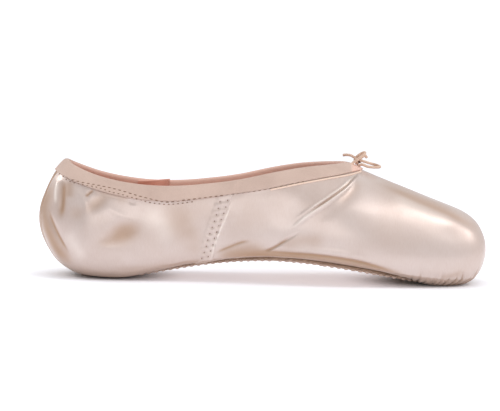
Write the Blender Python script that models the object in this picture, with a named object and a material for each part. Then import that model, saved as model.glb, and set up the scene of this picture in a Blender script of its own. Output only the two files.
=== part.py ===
"""A satin pointe shoe for either foot, empty, unbent and standing on its sole.

+X runs from heel to toe, +Y to the side, +Z up. The origin is on the floor, under the middle of
the shoe's length and width. All sizes are in metres. The upper is one hollow wall. Its surface is
drawn over ten guide lines that run right round the shoe, from the edge of its turned-in margin
under the sole up to the collar, and every other piece takes its place from that surface.
"""
import math
from functools import lru_cache

import bmesh
import bpy
from mathutils import Vector

# Last: the sizes that a shoemaker would name
LENGTH = 0.2350
HEEL_WIDTH = 0.0540
WAIST_WIDTH = 0.0600
BALL_WIDTH = 0.0770
PLATFORM_WIDTH = 0.0470
HEEL_HEIGHT = 0.0603
SIDE_HEIGHT = 0.0484
INSTEP_HEIGHT = 0.0612
PLATFORM_HEIGHT = 0.0346
ARCH_RISE = 0.0103

# Walls, sole and trim
QUARTER_WALL = 0.0014
BOX_WALL = 0.0026
COLLAR_WALL = 0.0010
MARGIN = 0.0060
GAP = 0.0003
SEAT_GAP = 0.0004
SOLE_THICKNESS = 0.0024
SOLE_EDGE_ROUND = 0.0005
SOLE_EDGE_UNDERCUT = 0.0008
SOLE_EDGE_SHARE = 0.4
NARROWEST_HALF = 0.0002
SCALLOP_PITCH = 0.0037
SCALLOP_DEPTH = 0.0004
SOLE_CLEARANCE = 0.0009
INSOLE_THICKNESS = 0.0015
BINDING_HEIGHT = 0.0072
BINDING_THICKNESS = 0.0007
SEAM_STEP = 0.0004
TAB_THICKNESS = 0.0008
TAB_PROUD = 0.0030
CORD_DIAMETER = 0.0013
KNOT_RADIUS = 0.0019

# Sole profile: where the arch leaves the two flat spots, as shares of the length, and how full it is
ARCH_BACK = -0.305
ARCH_FRONT = 0.370
ARCH_FULLNESS = 1.1

# Stations go round one side of the shoe from the middle of the heel to the middle of the platform
STATIONS = ("back", "heel_turn", "heel", "quarter", "seam", "waist",
            "ball", "box", "box_front", "corner", "face", "toe")
LAST_STATION = len(STATIONS) - 1
SEAM_STATION = STATIONS.index("seam")

# Each guide line has a row for each station. along is a share of the length from the middle, out a
# share of half the width beside it, and up a share of the height beside it.
SOLE_LINE = (
    # along, out, width
    (-0.410, 0.00, HEEL_WIDTH),
    (-0.399, 0.34, HEEL_WIDTH),
    (-0.356, 0.60, HEEL_WIDTH),
    (-0.264, 0.60, HEEL_WIDTH),
    (-0.132, 0.47, WAIST_WIDTH),
    (0.017, 0.56, WAIST_WIDTH),
    (0.176, 0.65, BALL_WIDTH),
    (0.300, 0.55, BALL_WIDTH),
    (0.359, 0.60, PLATFORM_WIDTH),
    (0.377, 0.36, PLATFORM_WIDTH),
    (0.384, 0.18, PLATFORM_WIDTH),
    (0.386, 0.00, PLATFORM_WIDTH),
)
FEATHER_LINE = (
    # along, out, width, lift over the sole's underside as a share of the seat
    (-0.429, 0.00, HEEL_WIDTH, 1.00),
    (-0.414, 0.41, HEEL_WIDTH, 0.85),
    (-0.361, 0.74, HEEL_WIDTH, 0.50),
    (-0.264, 0.76, HEEL_WIDTH, 0.50),
    (-0.132, 0.65, WAIST_WIDTH, 0.95),
    (0.021, 0.74, WAIST_WIDTH, 1.15),
    (0.183, 0.78, BALL_WIDTH, 1.40),
    (0.328, 0.67, BALL_WIDTH, 0.85),
    (0.412, 0.80, PLATFORM_WIDTH, 0.04),
    (0.438, 0.54, PLATFORM_WIDTH, 0.00),
    (0.446, 0.27, PLATFORM_WIDTH, 0.00),
    (0.448, 0.00, PLATFORM_WIDTH, 0.00),
)
WALL_LINE = (
    # along, out, width, up, height, turn: how far out the wall is at its foot's roundest place
    (-0.4985, 0.00, HEEL_WIDTH, 0.470, HEEL_HEIGHT, 0.62),
    (-0.475, 0.62, HEEL_WIDTH, 0.455, HEEL_HEIGHT, 0.66),
    (-0.396, 0.98, HEEL_WIDTH, 0.420, HEEL_HEIGHT, 0.72),
    (-0.262, 0.97, WAIST_WIDTH, 0.455, SIDE_HEIGHT, 0.76),
    (-0.101, 0.98, WAIST_WIDTH, 0.480, SIDE_HEIGHT, 0.80),
    (0.030, 1.11, WAIST_WIDTH, 0.370, INSTEP_HEIGHT, 0.82),
    (0.175, 1.00, BALL_WIDTH, 0.345, INSTEP_HEIGHT, 0.82),
    (0.315, 0.91, BALL_WIDTH, 0.285, INSTEP_HEIGHT, 0.78),
    (0.431, 1.17, PLATFORM_WIDTH, 0.500, PLATFORM_HEIGHT, 0.76),
    (0.484, 0.83, PLATFORM_WIDTH, 0.530, PLATFORM_HEIGHT, 0.75),
    (0.499, 0.42, PLATFORM_WIDTH, 0.600, PLATFORM_HEIGHT, 0.71),
    (0.500, 0.00, PLATFORM_WIDTH, 0.605, PLATFORM_HEIGHT, 0.71),
)
SHOULDER_LINE = (
    # along, out, width, up, height
    (-0.484, 0.00, HEEL_WIDTH, 0.732, HEEL_HEIGHT),
    (-0.462, 0.565, HEEL_WIDTH, 0.698, HEEL_HEIGHT),
    (-0.390, 0.95, HEEL_WIDTH, 0.604, HEEL_HEIGHT),
    (-0.262, 0.96, WAIST_WIDTH, 0.621, SIDE_HEIGHT),
    (-0.083, 0.97, WAIST_WIDTH, 0.731, SIDE_HEIGHT),
    (0.037, 1.04, WAIST_WIDTH, 0.665, INSTEP_HEIGHT),
    (0.158, 0.885, BALL_WIDTH, 0.655, INSTEP_HEIGHT),
    (0.281, 0.80, BALL_WIDTH, 0.580, INSTEP_HEIGHT),
    (0.394, 1.04, PLATFORM_WIDTH, 0.955, PLATFORM_HEIGHT),
    (0.455, 0.77, PLATFORM_WIDTH, 0.940, PLATFORM_HEIGHT),
    (0.474, 0.39, PLATFORM_WIDTH, 0.965, PLATFORM_HEIGHT),
    (0.476, 0.00, PLATFORM_WIDTH, 0.975, PLATFORM_HEIGHT),
)
CROWN_LINE = (
    # along, out, width, up, height
    (-0.471, 0.00, HEEL_WIDTH, 0.849, HEEL_HEIGHT),
    (-0.450, 0.505, HEEL_WIDTH, 0.810, HEEL_HEIGHT),
    (-0.381, 0.88, HEEL_WIDTH, 0.719, HEEL_HEIGHT),
    (-0.260, 0.92, WAIST_WIDTH, 0.773, SIDE_HEIGHT),
    (-0.071, 0.94, WAIST_WIDTH, 0.871, SIDE_HEIGHT),
    (0.033, 1.01, WAIST_WIDTH, 0.745, INSTEP_HEIGHT),
    (0.130, 0.78, BALL_WIDTH, 0.775, INSTEP_HEIGHT),
    (0.220, 0.645, BALL_WIDTH, 0.800, INSTEP_HEIGHT),
    (0.317, 0.72, PLATFORM_WIDTH, 0.772, INSTEP_HEIGHT),
    (0.370, 0.50, PLATFORM_WIDTH, 0.727, INSTEP_HEIGHT),
    (0.391, 0.25, PLATFORM_WIDTH, 0.702, INSTEP_HEIGHT),
    (0.395, 0.00, PLATFORM_WIDTH, 0.698, INSTEP_HEIGHT),
)
HEM_LINE = (
    # along, out, width, up, height: under the binding's lower edge
    (-0.462, 0.00, HEEL_WIDTH, 0.906, HEEL_HEIGHT),
    (-0.443, 0.46, HEEL_WIDTH, 0.866, HEEL_HEIGHT),
    (-0.376, 0.82, HEEL_WIDTH, 0.777, HEEL_HEIGHT),
    (-0.258, 0.89, WAIST_WIDTH, 0.855, SIDE_HEIGHT),
    (-0.064, 0.92, WAIST_WIDTH, 0.945, SIDE_HEIGHT),
    (0.030, 0.965, WAIST_WIDTH, 0.814, INSTEP_HEIGHT),
    (0.099, 0.70, BALL_WIDTH, 0.862, INSTEP_HEIGHT),
    (0.150, 0.585, BALL_WIDTH, 0.902, INSTEP_HEIGHT),
    (0.186, 0.70, PLATFORM_WIDTH, 0.928, INSTEP_HEIGHT),
    (0.208, 0.40, PLATFORM_WIDTH, 0.944, INSTEP_HEIGHT),
    (0.220, 0.17, PLATFORM_WIDTH, 0.950, INSTEP_HEIGHT),
    (0.223, 0.00, PLATFORM_WIDTH, 0.951, INSTEP_HEIGHT),
)
COLLAR_LINE = (
    # along, out, width, up, height
    (-0.441, 0.00, HEEL_WIDTH, 1.000, HEEL_HEIGHT),
    (-0.424, 0.37, HEEL_WIDTH, 0.960, HEEL_HEIGHT),
    (-0.366, 0.67, HEEL_WIDTH, 0.875, HEEL_HEIGHT),
    (-0.255, 0.80, WAIST_WIDTH, 1.000, SIDE_HEIGHT),
    (-0.052, 0.85, WAIST_WIDTH, 1.085, SIDE_HEIGHT),
    (0.026, 0.86, WAIST_WIDTH, 0.925, INSTEP_HEIGHT),
    (0.089, 0.595, BALL_WIDTH, 0.970, INSTEP_HEIGHT),
    (0.135, 0.475, BALL_WIDTH, 0.990, INSTEP_HEIGHT),
    (0.165, 0.55, PLATFORM_WIDTH, 1.000, INSTEP_HEIGHT),
    (0.183, 0.30, PLATFORM_WIDTH, 1.005, INSTEP_HEIGHT),
    (0.192, 0.125, PLATFORM_WIDTH, 1.001, INSTEP_HEIGHT),
    (0.194, 0.00, PLATFORM_WIDTH, 1.000, INSTEP_HEIGHT),
)

# Guide lines in the order in which a thread over the surface meets them, from under the sole
MARGIN_EDGE, SOLE_EDGE, PLEATS, FEATHER, FOOT, WALL, SHOULDER, CROWN, HEM, COLLAR = range(10)
PLEATS_SHARE = 0.36
ROWS_BETWEEN = (2, 1, 1, 2, 3, 3, 3, 2, 2)
COLUMNS_BETWEEN = (3, 3, 3, 4, 3, 4, 4, 4, 3, 3, 2)
COLUMN_CLEARANCE = 0.1

# Steps along the surface, in stations and levels, for reading its slope and for walking over it
NUDGE = 0.02
COLLAR_NUDGE = 0.1
WALK_STEPS_PER_LEVEL = 60
OUTLINE_STEPS = 600

# Where the wall thickens from quarter to box, as shares of the length
BOX_WALL_FROM = 0.05
BOX_WALL_FULL = 0.20

# Bands that stand one ply proud: in station units, because they taper with the stations
SIDE_SEAM_BAND = 0.16
SIDE_SEAM_STEP = 0.016
BACK_SEAM_BAND = 0.31
BACK_SEAM_STEP = 0.04

# The tab inside the far wall: its ends in station units, and how far it hangs below the collar
TAB_FROM = 2.72
TAB_TO = 3.20
TAB_HANG = 0.0150

# Drawstring: routes chosen by hand, in metres, each starting nearest the casing's mouth or the knot
KNOT_PLACE = (0.0494, 0.0, 0.0629)
LOOP_FORWARD = ((0.0519, -0.0027, 0.0612), (0.0548, -0.0033, 0.0602), (0.0580, -0.0031, 0.0599),
                (0.0606, -0.0019, 0.0599), (0.0615, 0.0003, 0.0601), (0.0601, 0.0022, 0.0607),
                (0.0574, 0.0027, 0.0614), (0.0546, 0.0017, 0.0622), (0.0518, 0.0004, 0.0631))
LOOP_UP = ((0.0466, -0.0033, 0.0632), (0.0483, -0.0043, 0.0646), (0.0503, -0.0047, 0.0662),
           (0.0521, -0.0041, 0.0675), (0.0531, -0.0022, 0.0681), (0.0527, -0.0003, 0.0677),
           (0.0514, 0.0006, 0.0667), (0.0502, 0.0004, 0.0656))
END_BACK = ((0.0477, 0.0008, 0.0648), (0.0463, 0.0014, 0.0656), (0.0442, 0.0020, 0.0659),
            (0.0420, 0.0026, 0.0657))
END_FRONT = ((0.0512, 0.0018, 0.0640), (0.0526, 0.0030, 0.0649), (0.0539, 0.0036, 0.0650),
             (0.0549, 0.0038, 0.0643))

MATERIALS = {
    # base colour, roughness
    "satin": ((0.72, 0.55, 0.45), 0.32),
    "binding": ((0.73, 0.53, 0.43), 0.75),
    "sole_leather": ((0.62, 0.45, 0.33), 0.60),
    "lining": ((0.66, 0.42, 0.33), 0.85),
    "cord": ((0.78, 0.60, 0.50), 0.70),
}


def sole_underside(x):
    """Height of the sole's underside: flat at heel and forefoot, with the arch between them."""
    share = (x / LENGTH - ARCH_BACK) / (ARCH_FRONT - ARCH_BACK)
    if share <= 0 or share >= 1:
        return 0.0
    return ARCH_RISE * math.sin(math.pi * share) ** ARCH_FULLNESS


def mirrored(points):
    """The closed line right round the shoe, from the points of its +Y side."""
    return points + [Vector((p.x, -p.y, p.z)) for p in points[-2:0:-1]]


def through(before, start, end, after, share):
    """A point between start and end on a smooth curve that passes through all four."""
    span = (end - start).length
    leave = arrive = end - start
    if before is not None:
        back = (start - before).length
        leave = ((start - before) * (span / back) + (end - start) * (back / span)) * (span / (back + span))
    if after is not None:
        ahead = (after - end).length
        arrive = ((end - start) * (ahead / span) + (after - end) * (span / ahead)) * (span / (ahead + span))
    square, cube = share ** 2, share ** 3
    return (start * (2 * cube - 3 * square + 1) + leave * (cube - 2 * square + share)
            + end * (3 * square - 2 * cube) + arrive * (cube - square))


def round_line(line, station):
    """A point on a closed guide line, at any place between its stations."""
    index, share = int(math.floor(station)), station - math.floor(station)
    corner = [line[(index + step) % len(line)] for step in (-1, 0, 1, 2)]
    return through(*corner, share)


def plain_line(rows):
    return mirrored([
        Vector((along * LENGTH, out * width / 2, up * height)) for along, out, width, up, height in rows])


def guide_lines():
    """All ten lines. The four under the shoe hold their height over the sole's underside."""
    seat = SOLE_THICKNESS + SEAT_GAP
    sole = mirrored([Vector((along * LENGTH, out * width / 2, seat)) for along, out, width in SOLE_LINE])
    margin = []
    for station, point in enumerate(sole):
        run = round_line(sole, station + 0.05) - round_line(sole, station - 0.05)
        margin.append(point - Vector((-run.y, run.x, 0)).normalized() * MARGIN)
    feather = mirrored([
        Vector((along * LENGTH, out * width / 2, lift * seat)) for along, out, width, lift in FEATHER_LINE])
    pleats = []
    for inner, outer in zip(sole, feather):
        point = inner.lerp(outer, PLEATS_SHARE)
        pleats.append(Vector((point.x, point.y, min(point.z, outer.z))))
    wall = plain_line([row[:5] for row in WALL_LINE])
    turns = [row[5] for row in WALL_LINE]
    turns += turns[-2:0:-1]
    foot = []
    for low, side, turn in zip(feather, wall, turns):
        point = low.lerp(side, turn)
        base = low.z + sole_underside(low.x)
        foot.append(Vector((point.x, point.y, base + (side.z - base) * (1 - turn))))
    top = [plain_line(line) for line in (SHOULDER_LINE, CROWN_LINE, HEM_LINE, COLLAR_LINE)]
    return [margin, sole, pleats, feather, foot, wall] + top


GUIDES = guide_lines()
ROUND = len(GUIDES[0])


@lru_cache(maxsize=None)
def thread(station):
    """The points where one thread from margin to collar meets the guide lines."""
    points = [round_line(line, station) for line in GUIDES]
    for point in points[:FEATHER + 1]:
        point.z += sole_underside(point.x)
    return points


@lru_cache(maxsize=None)
def surface(station, level):
    """The upper's smooth surface. level counts the guide lines up from the margin's edge."""
    points = thread(station % ROUND)
    index = min(int(level), COLLAR - 1)
    before = points[index - 1] if index > 0 else None
    after = points[index + 2] if index + 2 <= COLLAR else None
    return through(before, points[index], points[index + 1], after, level - index)


@lru_cache(maxsize=None)
def outward(station, level):
    low, high = max(level - NUDGE, 0), min(level + NUDGE, COLLAR)
    run = surface(station + NUDGE, level) - surface(station - NUDGE, level)
    rise = surface(station, high) - surface(station, low)
    return rise.cross(run).normalized()


def smooth_share(value, start, end):
    share = min(max((value - start) / (end - start), 0), 1)
    return share * share * (3 - 2 * share)


def wall_thickness(station, level):
    place = surface(station, level).x / LENGTH
    body = QUARTER_WALL + (BOX_WALL - QUARTER_WALL) * smooth_share(place, BOX_WALL_FROM, BOX_WALL_FULL)
    return body + (COLLAR_WALL - body) * smooth_share(level, HEM - 0.5, HEM + 0.5)


def from_back(station):
    """Station units from the middle of the heel, whichever side."""
    station %= ROUND
    return min(station, ROUND - station)


def step_height(station, level):
    """How far the side seam's lap and the back seam's tape stand proud of the wall."""
    place = from_back(station)
    on_lap = SEAM_STATION - SIDE_SEAM_BAND - 1e-6 <= place <= SEAM_STATION + 1e-6
    on_tape = place <= BACK_SEAM_BAND + 1e-6
    return SEAM_STEP if (on_lap or on_tape) and level > FEATHER else 0.0


def skin(station, level, off):
    """A point at a distance off the upper's outer face, seam steps included."""
    lift = step_height(station, level) + off
    return surface(station, level) + outward(station, level) * lift


def lining(station, level, off=0.0):
    """A point at a distance inside the upper's inner face."""
    depth = wall_thickness(station, level) + off
    return surface(station, level) - outward(station, level) * depth


@lru_cache(maxsize=None)
def level_below_collar(station, distance):
    """The level that lies this far below the collar, measured along the thread."""
    level, walked, last = float(COLLAR), 0.0, surface(station, float(COLLAR))
    while walked < distance:
        level -= 1 / WALK_STEPS_PER_LEVEL
        point = surface(station, level)
        walked += (point - last).length
        last = point
    return level


def columns():
    """Stations of the mesh's columns, right round, with one on each edge of the seams' steps."""
    half = [index + step / count for index, count in enumerate(COLUMNS_BETWEEN) for step in range(count)]
    edges = [SEAM_STATION - SIDE_SEAM_BAND - SIDE_SEAM_STEP, SEAM_STATION - SIDE_SEAM_BAND,
             float(SEAM_STATION), SEAM_STATION + SIDE_SEAM_STEP,
             BACK_SEAM_BAND, BACK_SEAM_BAND + BACK_SEAM_STEP]
    half = [place for place in half if all(abs(place - edge) > COLUMN_CLEARANCE for edge in edges)] + edges
    half = sorted(half)
    return half + [float(LAST_STATION)] + [ROUND - place for place in half[:0:-1]]


def rows():
    levels = [index + step / count for index, count in enumerate(ROWS_BETWEEN) for step in range(count)]
    return levels + [float(COLLAR)]


COLUMNS = columns()
ROWS = rows()


def material(name):
    made = bpy.data.materials.get(name)
    if made is None:
        colour, roughness = MATERIALS[name]
        made = bpy.data.materials.new(name)
        made.use_nodes = True
        shader = made.node_tree.nodes["Principled BSDF"]
        shader.inputs["Base Color"].default_value = (*colour, 1)
        shader.inputs["Roughness"].default_value = roughness
    return made


def add_mesh(name, bm, material_name, sharp_angle=40):
    bmesh.ops.recalc_face_normals(bm, faces=bm.faces)
    mesh = bpy.data.meshes.new(name)
    bm.to_mesh(mesh)
    bm.free()
    mesh.materials.append(material(material_name))
    mesh.shade_smooth()
    mesh.set_sharp_from_angle(angle=math.radians(sharp_angle))
    made = bpy.data.objects.new(name, mesh)
    bpy.context.collection.objects.link(made)
    return made


def add_loft(name, profiles, material_name, closed=True):
    """Joins closed profiles of equal length in a row, and the last to the first if closed."""
    bm = bmesh.new()
    loops = [[bm.verts.new(point) for point in profile] for profile in profiles]
    pairs = list(zip(loops, loops[1:]))
    if closed:
        pairs.append((loops[-1], loops[0]))
    else:
        bm.faces.new(loops[0])
        bm.faces.new(loops[-1])
    size = len(loops[0])
    for one, other in pairs:
        for index in range(size):
            following = (index + 1) % size
            bm.faces.new((one[index], one[following], other[following], other[index]))
    return add_mesh(name, bm, material_name)


def add_upper():
    profiles = []
    for station in COLUMNS:
        outer = [skin(station, level, 0.0) for level in ROWS]
        inner = [lining(station, level) for level in reversed(ROWS)]
        profiles.append(outer + inner)
    return add_loft("upper", profiles, "satin")


def add_binding():
    """The drawstring's casing: a folded strip over the collar's edge, a leg down each face."""
    near, far = GAP, GAP + BINDING_THICKNESS
    top = float(COLLAR)
    profiles = []
    for station in COLUMNS:
        levels = [level_below_collar(station, BINDING_HEIGHT * share) for share in (1.0, 0.5)] + [top]
        up = (surface(station, top) - surface(station, top - COLLAR_NUDGE)).normalized()
        out = outward(station, top)
        edge = surface(station, top) - out * (COLLAR_WALL / 2)
        fold = [edge + up * far + out * (COLLAR_WALL / 2 + near),
                edge + up * (far + BINDING_THICKNESS / 2),
                edge + up * far - out * (COLLAR_WALL / 2 + near)]
        crease = [edge + up * near - out * (COLLAR_WALL / 2), edge + up * near + out * (COLLAR_WALL / 2)]
        outer_leg = [skin(station, level, far) for level in levels]
        inner_leg = [lining(station, level, far) for level in reversed(levels)]
        inner_leg_back = [lining(station, level, near) for level in levels]
        outer_leg_back = [skin(station, level, near) for level in reversed(levels)]
        profiles.append(outer_leg + fold + inner_leg + inner_leg_back + crease + outer_leg_back)
    return add_loft("binding", profiles, "binding")


def sole_outline():
    """One side of the sole's outline from heel to tip, scalloped between its stitches."""
    line = GUIDES[SOLE_EDGE]
    walk = [round_line(line, LAST_STATION * step / OUTLINE_STEPS) for step in range(OUTLINE_STEPS + 1)]
    lengths = [0.0]
    for one, other in zip(walk, walk[1:]):
        lengths.append(lengths[-1] + math.hypot(other.x - one.x, other.y - one.y))
    count = 2 * round(lengths[-1] / SCALLOP_PITCH)
    outline, index = [], 0
    for step in range(count + 1):
        target = lengths[-1] * step / count
        while index < OUTLINE_STEPS - 1 and lengths[index + 1] < target:
            index += 1
        share = (target - lengths[index]) / (lengths[index + 1] - lengths[index])
        point = walk[index].lerp(walk[index + 1], share)
        run = walk[index + 1] - walk[index]
        out = Vector((-run.y, run.x, 0)).normalized()
        valley = SCALLOP_DEPTH if step % 2 else 0.0
        if 0 < step < count:
            place = point - out * (SOLE_CLEARANCE + valley)
            outline.append(Vector((place.x, max(place.y, NARROWEST_HALF), 0)))
        else:
            outline.append(Vector((point.x + (SOLE_CLEARANCE if step == 0 else -SOLE_CLEARANCE), 0, 0)))
    return outline


def strip_solid(name, outline, heights, insets, material_name):
    """A flat piece across the shoe. heights and insets give each layer of its edge, bottom first."""
    bm = bmesh.new()
    layers = []
    for height, inset in zip(heights, insets):
        ring = []
        for index, point in enumerate(outline):
            ahead = outline[min(index + 1, len(outline) - 1)]
            behind = outline[max(index - 1, 0)]
            if index in (0, len(outline) - 1):
                out = Vector((-1 if index == 0 else 1, 0, 0))
            else:
                run = ahead - behind
                out = Vector((-run.y, run.x, 0)).normalized()
            place = point - out * inset
            ring.append(Vector((place.x, place.y, height(place.x))))
        layers.append([bm.verts.new(p) for p in ring]
                      + [bm.verts.new((p.x, -p.y, p.z)) for p in ring[-2:0:-1]])
    size = len(layers[0])
    for lower, upper in zip(layers, layers[1:]):
        for index in range(size):
            following = (index + 1) % size
            bm.faces.new((lower[index], lower[following], upper[following], upper[index]))
    for layer in (layers[0], layers[-1]):
        bm.faces.new((layer[0], layer[1], layer[-1]))
        for index in range(1, size // 2 - 1):
            bm.faces.new((layer[index], layer[index + 1], layer[-index - 1], layer[-index]))
        half = size // 2
        bm.faces.new((layer[half - 1], layer[half], layer[half + 1]))
    return add_mesh(name, bm, material_name)


def add_outsole():
    heights = (sole_underside,
               lambda x: sole_underside(x) + SOLE_THICKNESS * SOLE_EDGE_SHARE,
               lambda x: sole_underside(x) + SOLE_THICKNESS)
    insets = (SOLE_EDGE_UNDERCUT, 0.0, SOLE_EDGE_ROUND)
    return strip_solid("outsole", sole_outline(), heights, insets, "sole_leather")


def add_insole():
    half = [place for place in COLUMNS if place <= LAST_STATION]
    under = [step / 4 for step in range(5)]
    edge = [lining(station, float(SOLE_EDGE), GAP) for station in half]
    outline = [Vector((point.x, max(point.y, 0.0), 0)) for point in edge]
    heights = [max(lining(station, level, GAP).z for level in under) for station in half]

    def underside(x):
        places = [point.x for point in outline]
        for index in range(len(places) - 1):
            if places[index] <= x <= places[index + 1]:
                share = (x - places[index]) / max(places[index + 1] - places[index], 1e-9)
                return heights[index] + (heights[index + 1] - heights[index]) * share
        return heights[0] if x < places[0] else heights[-1]

    return strip_solid("insole", outline,
                       (underside, lambda x: underside(x) + INSOLE_THICKNESS), (GAP, GAP), "lining")


def add_tab():
    """The stitched-in stub of tape on the far side's inner wall, which shows over the rim."""
    clear = 2 * GAP + BINDING_THICKNESS
    count = 4
    stations = [TAB_FROM + (TAB_TO - TAB_FROM) * step / count for step in range(count + 1)]
    profiles = []
    for station in stations:
        levels = [level_below_collar(station, TAB_HANG * share) for share in (1.0, 0.66, 0.33, 0.0)]
        levels[-1] = float(COLLAR)
        up = (surface(station, levels[-1]) - surface(station, levels[-1] - COLLAR_NUDGE)).normalized()
        outer = [lining(station, level, clear) for level in levels]
        inner = [lining(station, level, clear + TAB_THICKNESS) for level in levels]
        outer.append(outer[-1] + up * TAB_PROUD)
        inner.append(inner[-1] + up * TAB_PROUD)
        profiles.append(outer + inner[::-1])
    return add_loft("inner_tab", profiles, "lining", closed=False)


def smooth_route(points, spacing):
    """Points about one spacing apart on a smooth curve through a route's own points."""
    points = [Vector(point) for point in points]
    route = [points[0]]
    for index in range(len(points) - 1):
        before = points[index - 1] if index > 0 else None
        after = points[index + 2] if index + 2 < len(points) else None
        start, end = points[index], points[index + 1]
        count = max(1, round((end - start).length / spacing))
        route += [through(before, start, end, after, step / count) for step in range(1, count + 1)]
    return route


def add_cord(name, points):
    route = smooth_route(points, CORD_DIAMETER)
    curve = bpy.data.curves.new(name, "CURVE")
    curve.dimensions = "3D"
    curve.bevel_depth = CORD_DIAMETER / 2
    curve.bevel_resolution = 2
    curve.use_fill_caps = True
    spline = curve.splines.new("POLY")
    spline.points.add(len(route) - 1)
    for point, place in zip(spline.points, route):
        point.co = (*place, 1)
    curve.materials.append(material("cord"))
    made = bpy.data.objects.new(name, curve)
    bpy.context.collection.objects.link(made)
    return made


def add_knot():
    """The bow's knot, a lump as wide as three cords, on the casing over the throat."""
    bm = bmesh.new()
    bmesh.ops.create_icosphere(bm, subdivisions=2, radius=KNOT_RADIUS)
    knot = add_mesh("bow_knot", bm, "cord")
    knot.location = KNOT_PLACE
    return knot


def clear_scene():
    for thing in list(bpy.data.objects):
        bpy.data.objects.remove(thing, do_unlink=True)


clear_scene()
add_upper()
add_binding()
add_outsole()
add_insole()
add_tab()
add_knot()
add_cord("bow_loop_forward", LOOP_FORWARD)
add_cord("bow_loop_up", LOOP_UP)
add_cord("bow_end_back", END_BACK)
add_cord("bow_end_front", END_FRONT)
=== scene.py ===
"""A satin pointe shoe on a pale studio floor: heel to the left, platform to the right."""
import math

import bpy
import numpy as np
from mathutils import Matrix, Quaternion, Vector
from mathutils.bvhtree import BVHTree


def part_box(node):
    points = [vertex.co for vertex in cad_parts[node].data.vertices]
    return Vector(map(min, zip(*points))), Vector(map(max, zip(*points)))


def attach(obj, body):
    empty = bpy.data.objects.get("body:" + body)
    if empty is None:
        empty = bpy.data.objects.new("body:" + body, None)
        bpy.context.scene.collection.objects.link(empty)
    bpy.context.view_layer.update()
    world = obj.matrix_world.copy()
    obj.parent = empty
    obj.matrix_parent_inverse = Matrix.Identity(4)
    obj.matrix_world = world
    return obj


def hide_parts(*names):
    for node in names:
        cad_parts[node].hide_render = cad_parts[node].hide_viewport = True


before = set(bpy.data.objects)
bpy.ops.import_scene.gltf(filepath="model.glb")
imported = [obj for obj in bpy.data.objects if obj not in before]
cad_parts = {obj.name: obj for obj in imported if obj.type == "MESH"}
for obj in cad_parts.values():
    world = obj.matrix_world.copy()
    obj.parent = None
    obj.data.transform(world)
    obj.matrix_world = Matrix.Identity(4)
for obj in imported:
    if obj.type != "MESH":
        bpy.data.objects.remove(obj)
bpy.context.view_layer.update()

# Camera
# The photo looks square on to the shoe's side, a little from above, through a long lens.
# The toe end is rolled down in the picture, while the shoe itself stands level.
CAMERA_DISTANCE = 0.90
CAMERA_ELEVATION = math.radians(4.5)
CAMERA_ROLL = math.radians(1.2)
CAMERA_AIM = Vector((-0.0064, 0.0, 0.0382))
CAMERA_LENS = 123.0
SENSOR_WIDTH = 36

camera_side = Vector((0, -math.cos(CAMERA_ELEVATION), math.sin(CAMERA_ELEVATION)))
bpy.ops.object.camera_add(location=CAMERA_AIM + camera_side * CAMERA_DISTANCE)
camera = bpy.context.object
camera.data.lens = CAMERA_LENS
camera.data.sensor_width = SENSOR_WIDTH
camera.rotation_mode = "QUATERNION"
camera.rotation_quaternion = (-camera_side).to_track_quat("-Z", "Y") @ Quaternion((0, 0, 1), CAMERA_ROLL)
bpy.context.scene.camera = camera

# Studio
# A white floor and a white room that is dimmer behind the camera, two soft boxes beyond the toe for
# the streak along the box, one high behind the heel, and a weak one beside the camera.
FLOOR_SIZE = 3.0
FLOOR_WHITE = (0.90, 0.92, 0.96)
FLOOR_ROUGHNESS = 0.7
FLOOR_GLOW = 0.36
FLOOR_GLOW_TINT = (0.93, 0.92, 1.0)
# The floor's glow fades out towards the two places where the shoe touches it: a painted contact shadow
# under the heel and the toe
CONTACTS = ((-0.083, 0.0, 0.0), (0.088, 0.0, 0.0))
PAINTED_SHADOW_CORE = 0.014
PAINTED_SHADOW_REACH = 0.048
ROOM_TOP = 0.86
ROOM_FRONT = 0.34
ROOM_LEAN = 0.45
BACKGROUND = 1.08
SOFT_BOXES = (
    # name, place, aim, width, depth, power
    ("key_box", (0.62, -0.34, 0.84), (0.06, 0.0, 0.04), 0.34, 0.16, 1.9),
    ("toe_box", (1.00, -0.22, 0.60), (0.09, 0.0, 0.03), 0.30, 0.18, 1.9),
    ("heel_box", (-0.85, 0.35, 0.60), (-0.10, 0.0, 0.03), 0.30, 0.30, 1.9),
    ("front_fill", (-0.20, -1.30, 0.45), (0.0, 0.0, 0.03), 0.90, 0.50, 2.6),
)


def new_material(name, colour, roughness):
    """A plain material, with its nodes, its links and its shader."""
    made = bpy.data.materials.new(name)
    made.use_nodes = True
    shader = made.node_tree.nodes["Principled BSDF"]
    shader.inputs["Base Color"].default_value = (*colour, 1)
    shader.inputs["Roughness"].default_value = roughness
    return made, made.node_tree.nodes, made.node_tree.links, shader


bpy.ops.mesh.primitive_plane_add(size=FLOOR_SIZE, location=(0, 0, 0))
floor = bpy.context.object
floor.name = "floor"
floor_white, nodes, links, shader = new_material("floor_white", FLOOR_WHITE, FLOOR_ROUGHNESS)
shader.inputs["Emission Color"].default_value = (*FLOOR_GLOW_TINT, 1)
floor.data.materials.append(floor_white)
floor_place = nodes.new("ShaderNodeTexCoord")
glow = None
for contact in CONTACTS:
    away = nodes.new("ShaderNodeVectorMath")
    away.operation = "DISTANCE"
    away.inputs[1].default_value = contact
    painted_shadow_fade = nodes.new("ShaderNodeMapRange")
    painted_shadow_fade.interpolation_type = "SMOOTHSTEP"
    painted_shadow_fade.inputs["From Min"].default_value = PAINTED_SHADOW_CORE
    painted_shadow_fade.inputs["From Max"].default_value = PAINTED_SHADOW_REACH
    links.new(floor_place.outputs["Object"], away.inputs[0])
    links.new(away.outputs["Value"], painted_shadow_fade.inputs["Value"])
    share = nodes.new("ShaderNodeMath")
    share.operation = "MULTIPLY"
    share.inputs[1].default_value = FLOOR_GLOW
    links.new(painted_shadow_fade.outputs["Result"], share.inputs[0])
    if glow:
        links.new(glow.outputs[0], share.inputs[1])
    glow = share
links.new(glow.outputs[0], shader.inputs["Emission Strength"])

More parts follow.
